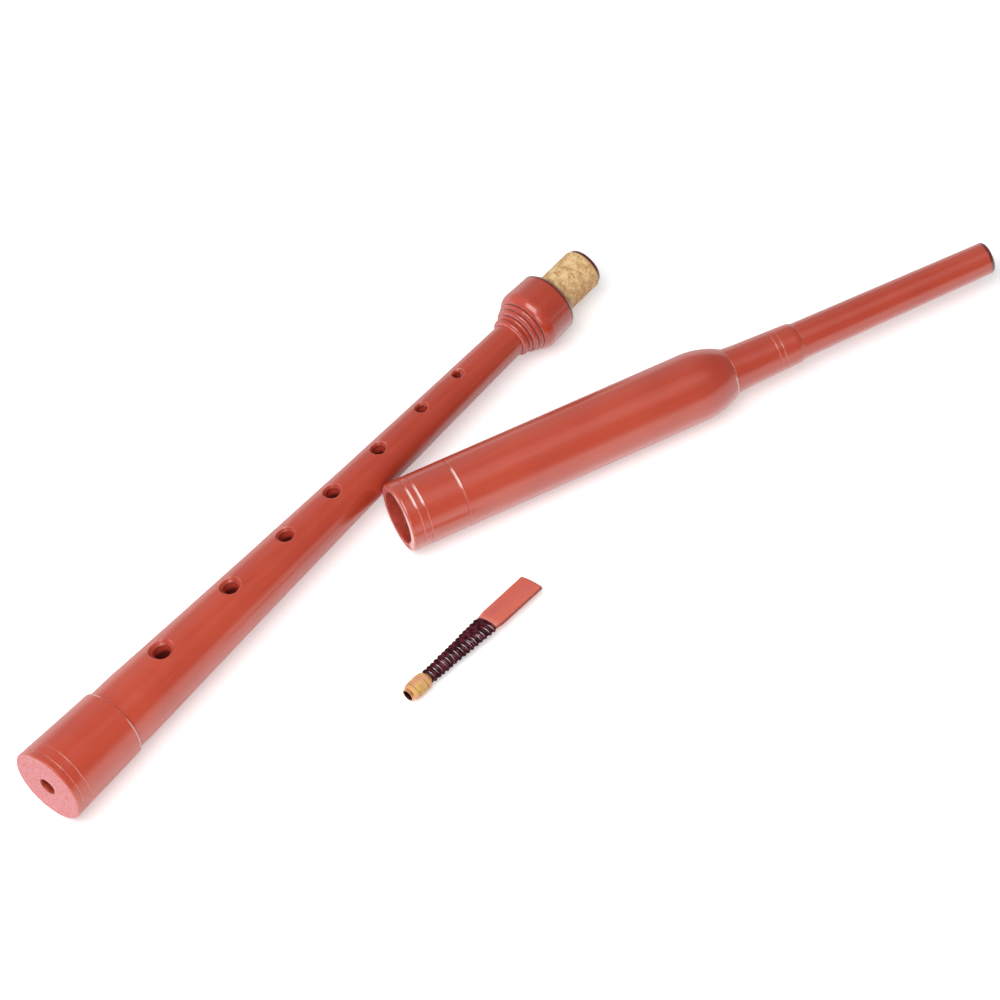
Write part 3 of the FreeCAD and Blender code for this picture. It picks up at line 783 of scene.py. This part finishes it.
class CHANTER_OT_tenon_cork(bpy.types.Operator):
    """Replace the tenon's cork with an uneven sanded sleeve"""
    bl_idname = "chanter.tenon_cork"
    bl_label = "Tenon cork"

    def execute(self, context):
        settings = context.scene.chanter_cork
        axes = chanter_axes()
        inner, outer = radii("tenon_cork", axes)
        outline = cork_outline(*reach_along("tenon_cork", axes), inner, outer)
        source = random.Random(7)
        phases = [source.uniform(0, 2 * math.pi) for _ in range(4)]
        vertices = []
        for x, r in outline:
            for j in range(CORK_AROUND):
                turn = 2 * math.pi * j / CORK_AROUND
                dent = math.sin(3 * turn + phases[0]) + math.sin(5 * turn + phases[1] + 400 * x)
                dent += math.sin(9 * turn + phases[2] - 700 * x) * 0.6
                dent += math.sin(1100 * x + 2 * math.sin(turn + phases[3])) * 0.6
                radius = r - CORK_DENT * (2 - dent) if r > inner + 0.4 * mm else r
                point = Vector((x, radius * math.cos(turn), radius * math.sin(turn)))
                vertices.append(axes @ point)
        piece = mesh_object("cork_sleeve", vertices, ring_faces(len(outline), CORK_AROUND),
                            "chanter", "cork")
        piece.data.materials.append(cork_material(axes, settings))
        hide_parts("tenon_cork")
        return {"FINISHED"}


# Hemp

WRAP_END_RADIUS = 2.2 * mm
STAPLE_SIDE_RADIUS = 1.95 * mm
BLADE_SIDE_RADIUS = 1.6 * mm
WRAP_BULGE = 0.4 * mm
WRAP_CROSSING_TURNS = 3.3
CORE_AROUND = 48


def hemp_material(name, axes, settings):
    """Waxed hemp: golden strands with painted shade between the turns, and fine fibres that are
    darker in places.
    """
    material, nodes, shader = new_material(name)
    place = nodes.place_along(axes)
    fibres = nodes.noise(place, (6000, 900, 900), detail=4, roughness=0.6)
    patches = nodes.noise(place, 500)
    base = nodes.mix(nodes.band(patches, 0.4, 0.6), settings.rosy, settings.golden)
    # Painted shade where the strands are close (ambient occlusion), and dark fibres
    fibres_and_gap_shade = nodes.highest(nodes.band(nodes.open_share(settings.strand), 0.7, 0.3),
                         nodes.band(fibres, 0.36, 0.28))
    base = nodes.mix(nodes.product(fibres_and_gap_shade, 0.85), base, settings.fibre_and_gap_shade_brown)
    connect(nodes, shader, Base_Color=base, Roughness=0.42, IOR=1.45,
            Normal=nodes.bump(fibres, 0.05 * mm), Coat_Weight=0.25, Coat_Roughness=0.3)
    return material


def wind_reed_base(settings):
    """Bulging turns on the reed's base, with a few crossing back over them."""
    axes = reed_axes()
    strand = settings.strand / 2
    start, end = reach_along("reed_base_wrap", axes)
    outer = radii("reed_base_wrap", axes)[1]
    middle = (start + end) / 2
    half = (end - start) / 2

    def bulge(s):
        out = min(1, abs(s - middle) / half)
        radius = outer - strand - WRAP_BULGE * out ** 3
        return radius, radius

    turns = int((end - start) / (settings.strand * 0.95))
    first = winding(axes, start + strand, end - strand, turns, bulge, strand, seed=3,
                    unevenness=0.06 * mm, sides=10)
    back = winding(axes, end - strand, start + 2 * strand, WRAP_CROSSING_TURNS, bulge,
                   strand * 0.85, seed=9, unevenness=0.15 * mm, hand=-1)
    core = sleeve(axes, [(start, STAPLE_SIDE_RADIUS), (start + 0.1 * mm, WRAP_END_RADIUS),
                         (middle, outer - 0.35 * mm), (end - 0.1 * mm, WRAP_END_RADIUS),
                         (end, BLADE_SIDE_RADIUS)], CORE_AROUND)
    base = mesh_object("base_wrap_hemp", *joined([first, back, core]), "reed", "hemp")
    base.data.materials.append(hemp_material("golden_hemp_reed", axes, settings))
    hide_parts("reed_base_wrap")


def wind_neck_tenon(settings):
    """Even turns on the neck's tenon, inside the barrel."""
    axes = top_axes()
    strand = settings.strand / 2
    start, end = reach_along("neck_tenon_hemp", axes)
    inner, outer = radii("neck_tenon_hemp", axes)

    def straight(_):
        return outer - strand, outer - strand

    turns = int((end - start) / (settings.strand * 0.93))
    wound = winding(axes, start + strand, end - strand, turns, straight, strand, seed=5,
                    unevenness=0.02 * mm, per_turn=32, sides=6)
    under = outer - strand * 1.4
    core = sleeve(axes, [(start, inner), (start, under), (end, under), (end, inner)],
                  CORE_AROUND)
    neck = mesh_object("neck_hemp_turns", *joined([wound, core]), "mouthpiece", "hemp")
    neck.data.materials.append(hemp_material("golden_hemp_neck", axes, settings))
    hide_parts("neck_tenon_hemp")


class CHANTER_OT_hemp(bpy.types.Operator):
    """Wind the hemp on the reed's base and on the neck's tenon"""
    bl_idname = "chanter.hemp"
    bl_label = "Hemp windings"

    def execute(self, context):
        settings = context.scene.chanter_hemp
        wind_reed_base(settings)
        wind_neck_tenon(settings)
        return {"FINISHED"}


# Reed

# The side of the thread where its varnish glints
GLINTING_SIDE = (-0.552, -0.381, 0.742)
CORD_CROSSING_TURNS = 7.4


def blade_material(axes, settings):
    """Moulded blade, slightly translucent, with fine streaks along it and dark thin edges."""
    material, nodes, shader = new_material("blade_moulded")
    place = nodes.place_along(axes)
    x, y, _ = nodes.split(place)
    streaks = nodes.noise(place, (90, 2200, 1200), detail=4, roughness=0.6)
    middle = nodes.band(nodes.math("ABSOLUTE", y), 3.6 * mm, 1.2 * mm)
    rosy = nodes.product(middle, nodes.band(streaks, 0.42, 0.62))
    base = nodes.mix(rosy, settings.blade_red, settings.blade_rose)
    bound = nodes.band(x, settings.mouth_place + 3 * mm, settings.mouth_place)
    base = nodes.mix(nodes.product(bound, 0.45), base, settings.blade_pale)
    edge, softened = nodes.edges(0.45 * mm)
    base = nodes.mix(nodes.product(edge, 0.85), base, settings.blade_edge)
    connect(nodes, shader, Base_Color=base, Roughness=0.4, IOR=1.5,
            Normal=nodes.bump(streaks, 0.02 * mm, normal=softened),
            Subsurface_Weight=0.2, Subsurface_Radius=(1, 0.3, 0.2), Subsurface_Scale=0.6 * mm)
    return material


def thread_material(name, axes, settings, rosy, varnish):
    """Waxed dark thread with fine fibres, redder in places, with varnish where it is rubbed."""
    material, nodes, shader = new_material(name)
    place = nodes.place_along(axes)
    fibres = nodes.noise(place, (5000, 1500, 1500), detail=4, roughness=0.6)
    patches = nodes.noise(place, 700)
    tone = nodes.product(nodes.band(patches, 0.4, 0.65), rosy)
    base = nodes.mix(tone, settings.thread_dark, settings.thread_rose)
    rubbed = nodes.band(nodes.dot(nodes.normal(), GLINTING_SIDE), 0.84, 0.97)
    connect(nodes, shader, Base_Color=base, Roughness=0.65, IOR=1.45, Specular_IOR_Level=0.08,
            Normal=nodes.bump(fibres, 0.01 * mm), Coat_Weight=nodes.product(rubbed, varnish),
            Coat_Roughness=0.24, Coat_IOR=2.6)
    return material


def staple_material(axes, settings):
    """Thin metal tube, coppery outside and tarnished dark within."""
    material, nodes, shader = new_material("tarnished_staple")
    place = nodes.place_along(axes)
    outward = nodes.pair_dot(nodes.split(nodes.normal_along(axes))[1:], nodes.split(place)[1:])
    tarnish = nodes.noise(place, 900, detail=4)
    base = nodes.mix(nodes.band(outward, -0.1 * mm, 0.0),
                     settings.staple_dark, settings.staple_copper)
    stained = nodes.product(nodes.band(tarnish, 0.5, 0.7), 0.6)
    base = nodes.mix(stained, base, settings.staple_dark)
    dull = nodes.math("MULTIPLY_ADD", tarnish, 0.25, 0.25)
    connect(nodes, shader, Base_Color=base, Metallic=0.6, Roughness=dull,
            Normal=nodes.bump(tarnish, 0.02 * mm))
    return material


class CHANTER_OT_reed_blades(bpy.types.Operator):
    """Finish the reed's blades and its staple"""
    bl_idname = "chanter.reed_blades"
    bl_label = "Reed blades and staple"

    def execute(self, context):
        settings = context.scene.chanter_reed
        axes = reed_axes()
        blade = blade_material(axes, settings)
        dress("reed_blade_upper", blade)
        dress("reed_blade_lower", blade)
        dress("reed_staple", staple_material(axes, settings))
        return {"FINISHED"}


class CHANTER_OT_reed_binding(bpy.types.Operator):
    """Wind the reed's binding: a fine close layer, the raised cord and its crossing turns"""
    bl_idname = "chanter.reed_binding"
    bl_label = "Reed binding"

    def execute(self, context):
        settings = context.scene.chanter_reed
        axes = reed_axes()
        start, end = reach_along("reed_binding", axes)
        root = (settings.root_place, settings.root_half_width, settings.root_half_height)
        mouth = (settings.mouth_place, settings.mouth_half_width, settings.mouth_half_height)

        def under(s):
            """Half width and half height of what the thread is wound on."""
            if s <= root[0]:
                first, last = (start, settings.start_half, settings.start_half), root
                t = max(0, (s - start) / (root[0] - start))
            else:
                first, last = root, mouth
                t = (s - root[0]) / (mouth[0] - root[0])
            return [first[i] + (last[i] - first[i]) * t for i in (1, 2)]

        def grown(amount):
            return lambda s: [size + amount for size in under(s)]

        cord = settings.cord_radius
        fine = settings.under_radius
        close_turns = int((end - start) / (fine * 1.9))
        close = winding(axes, start + fine, end - fine, close_turns, grown(fine), fine, seed=21,
                        unevenness=0.02 * mm, per_turn=28, sides=6)
        raised = winding(axes, start + cord, end - cord, settings.cord_turns, grown(cord), cord,
                         seed=23, unevenness=0.08 * mm, per_turn=56, sides=12)
        back = winding(axes, end - cord, start + cord, CORD_CROSSING_TURNS, grown(cord * 0.7),
                       cord * 0.55, seed=29, unevenness=0.12 * mm, hand=-1, per_turn=48)
        close_piece = mesh_object("binding_close_turns", *close, "reed", "thread")
        close_piece.data.materials.append(
            thread_material("dark_thread_close", axes, settings, rosy=1.0, varnish=0.1))
        cord_piece = mesh_object("binding_raised_cord", *joined([raised, back]), "reed", "thread")
        cord_piece.data.materials.append(
            thread_material("dark_thread_raised", axes, settings, rosy=0.6, varnish=1.0))
        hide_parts("reed_binding")
        return {"FINISHED"}


# Stage

SENSOR_WIDTH = 36
FLOOR_HALF = 6
FLOOR_GLOW = 0.38
CEILING_SPOT = (0.139, -0.286, 0.948)
KEY_PLACE = (-0.56, -0.03, 1.11)
KEY_SIZE = 0.9
SIDE_PLACE = (-1.0, -0.6, 0.5)
SIDE_SIZE = 0.5


def area_light(name, place, size, power):
    """A square softbox that looks at the middle of the object."""
    data = bpy.data.lights.new(name, "AREA")
    data.size = size
    data.energy = power
    lamp = bpy.data.objects.new(name, data)
    lamp.location = place
    lamp.rotation_euler = (-Vector(place)).to_track_quat("-Z", "Y").to_euler()
    bpy.context.scene.collection.objects.link(lamp)


def make_camera(settings):
    """The camera at the photograph's angle."""
    azimuth = settings.camera_azimuth
    elevation = settings.camera_elevation
    back = Vector((math.sin(azimuth) * math.cos(elevation),
                   -math.cos(azimuth) * math.cos(elevation), math.sin(elevation)))
    aim = Vector((settings.camera_aim_x, settings.camera_aim_y, 0))
    data = bpy.data.cameras.new("photo_camera")
    data.sensor_width = SENSOR_WIDTH
    data.lens = settings.focal_share * SENSOR_WIDTH
    data.clip_start = 0.01
    data.clip_end = 100
    camera = bpy.data.objects.new("photo_camera", data)
    turn = (-back).to_track_quat("-Z", "Y").to_matrix()
    roll = Matrix.Rotation(settings.camera_roll, 3, "Z")
    place = Matrix.Translation(aim + back * settings.camera_distance)
    camera.matrix_world = place @ (turn @ roll).to_4x4()
    bpy.context.scene.collection.objects.link(camera)
    bpy.context.scene.camera = camera


def make_floor(settings):
    """A plain pale floor that keeps the shadow and is near white to the camera and in gloss."""
    mesh = bpy.data.meshes.new("floor")
    corners = [(-FLOOR_HALF, -FLOOR_HALF, 0), (FLOOR_HALF, -FLOOR_HALF, 0),
               (FLOOR_HALF, FLOOR_HALF, 0), (-FLOOR_HALF, FLOOR_HALF, 0)]
    mesh.from_pydata(corners, [], [(0, 1, 2, 3)])
    floor = bpy.data.objects.new("floor", mesh)
    bpy.context.scene.collection.objects.link(floor)
    material, nodes, shader = new_material("pale_floor")
    seen = nodes.add("ShaderNodeLightPath", output=0)
    in_gloss = nodes.add("ShaderNodeLightPath", output=3)
    glow = nodes.product(nodes.highest(seen, in_gloss), FLOOR_GLOW)
    connect(nodes, shader, Base_Color=settings.floor_grey, Roughness=0.9,
            Emission_Color=(1, 1, 1, 1), Emission_Strength=glow)
    mesh.materials.append(material)


def make_world(settings):
    """White all round up to a low backdrop's height, and a dim room with a lit ceiling above it."""
    world = bpy.data.worlds.new("studio")
    bpy.context.scene.world = world
    world.use_nodes = True
    tree = world.node_tree
    tree.nodes.clear()
    nodes = Nodes(tree)
    direction = nodes.add("ShaderNodeTexCoord", output=0)
    toward_y, height = nodes.split(direction)[1:]
    above = nodes.band(height, settings.backdrop_height - 0.08, settings.backdrop_height + 0.1)
    beyond = nodes.band(nodes.pair_dot((toward_y, height), (0.85, 0.5)), 0.45, 0.95)
    room = nodes.mix(beyond, settings.room_grey, settings.window_grey)
    overhead = nodes.band(nodes.dot(direction, CEILING_SPOT), 0.9, 1.0)
    room = nodes.mix(overhead, room, settings.ceiling_grey)
    tone = nodes.mix(above, (1, 1, 1, 1), room)
    studio = nodes.add("ShaderNodeBackground", inputs={"Color": tone, "Strength": 1.0})
    output = tree.nodes.new("ShaderNodeOutputWorld")
    tree.links.new(studio, output.inputs["Surface"])


class CHANTER_OT_stage(bpy.types.Operator):
    """Set the floor, the soft studio light and the camera at the photograph's angle"""
    bl_idname = "chanter.stage"
    bl_label = "Stage"

    def execute(self, context):
        settings = context.scene.chanter_stage
        make_camera(settings)
        make_floor(settings)
        make_world(settings)
        area_light("key_softbox", KEY_PLACE, KEY_SIZE, settings.key_power)
        area_light("side_softbox", SIDE_PLACE, SIDE_SIZE, settings.side_power)
        context.scene.view_settings.view_transform = "Standard"
        return {"FINISHED"}


class CHANTER_PT_looks(bpy.types.Panel):
    """Everything that dresses the practice chanter"""
    bl_label = "Practice chanter"
    bl_idname = "CHANTER_PT_looks"
    bl_space_type = "VIEW_3D"
    bl_region_type = "UI"
    bl_category = "Chanter"

    def draw(self, context):
        for title, group_name, names in PANEL_ROWS:
            box = self.layout.box()
            box.label(text=title)
            group = getattr(context.scene, group_name)
            for property_name in group.__annotations__:
                box.prop(group, property_name)
            for name in names:
                box.operator(name)


PANEL_ROWS = (
    ("Turned wood", "chanter_wood", ("chanter.turned_wood",)),
    ("Cork", "chanter_cork", ("chanter.tenon_cork",)),
    ("Hemp", "chanter_hemp", ("chanter.hemp",)),
    ("Reed", "chanter_reed", ("chanter.reed_blades", "chanter.reed_binding")),
    ("Stage", "chanter_stage", ("chanter.stage",)),
)

SETTINGS = {
    "chanter_wood": TurnedWoodSettings,
    "chanter_cork": CorkSettings,
    "chanter_hemp": HempSettings,
    "chanter_reed": ReedSettings,
    "chanter_stage": StageSettings,
}

OPERATORS = (
    CHANTER_OT_turned_wood,
    CHANTER_OT_tenon_cork,
    CHANTER_OT_hemp,
    CHANTER_OT_reed_blades,
    CHANTER_OT_reed_binding,
    CHANTER_OT_stage,
)


def register():
    for group in SETTINGS.values():
        bpy.utils.register_class(group)
    for name, group in SETTINGS.items():
        setattr(bpy.types.Scene, name, PointerProperty(type=group))
    for operator in OPERATORS:
        bpy.utils.register_class(operator)
    bpy.utils.register_class(CHANTER_PT_looks)


def unregister():
    bpy.utils.unregister_class(CHANTER_PT_looks)
    for operator in reversed(OPERATORS):
        bpy.utils.unregister_class(operator)
    for name, group in SETTINGS.items():
        delattr(bpy.types.Scene, name)
        bpy.utils.unregister_class(group)


def main():
    register()
    bpy.ops.chanter.turned_wood()
    bpy.ops.chanter.tenon_cork()
    bpy.ops.chanter.hemp()
    bpy.ops.chanter.reed_blades()
    bpy.ops.chanter.reed_binding()
    bpy.ops.chanter.stage()


if __name__ == "__main__":
    main()
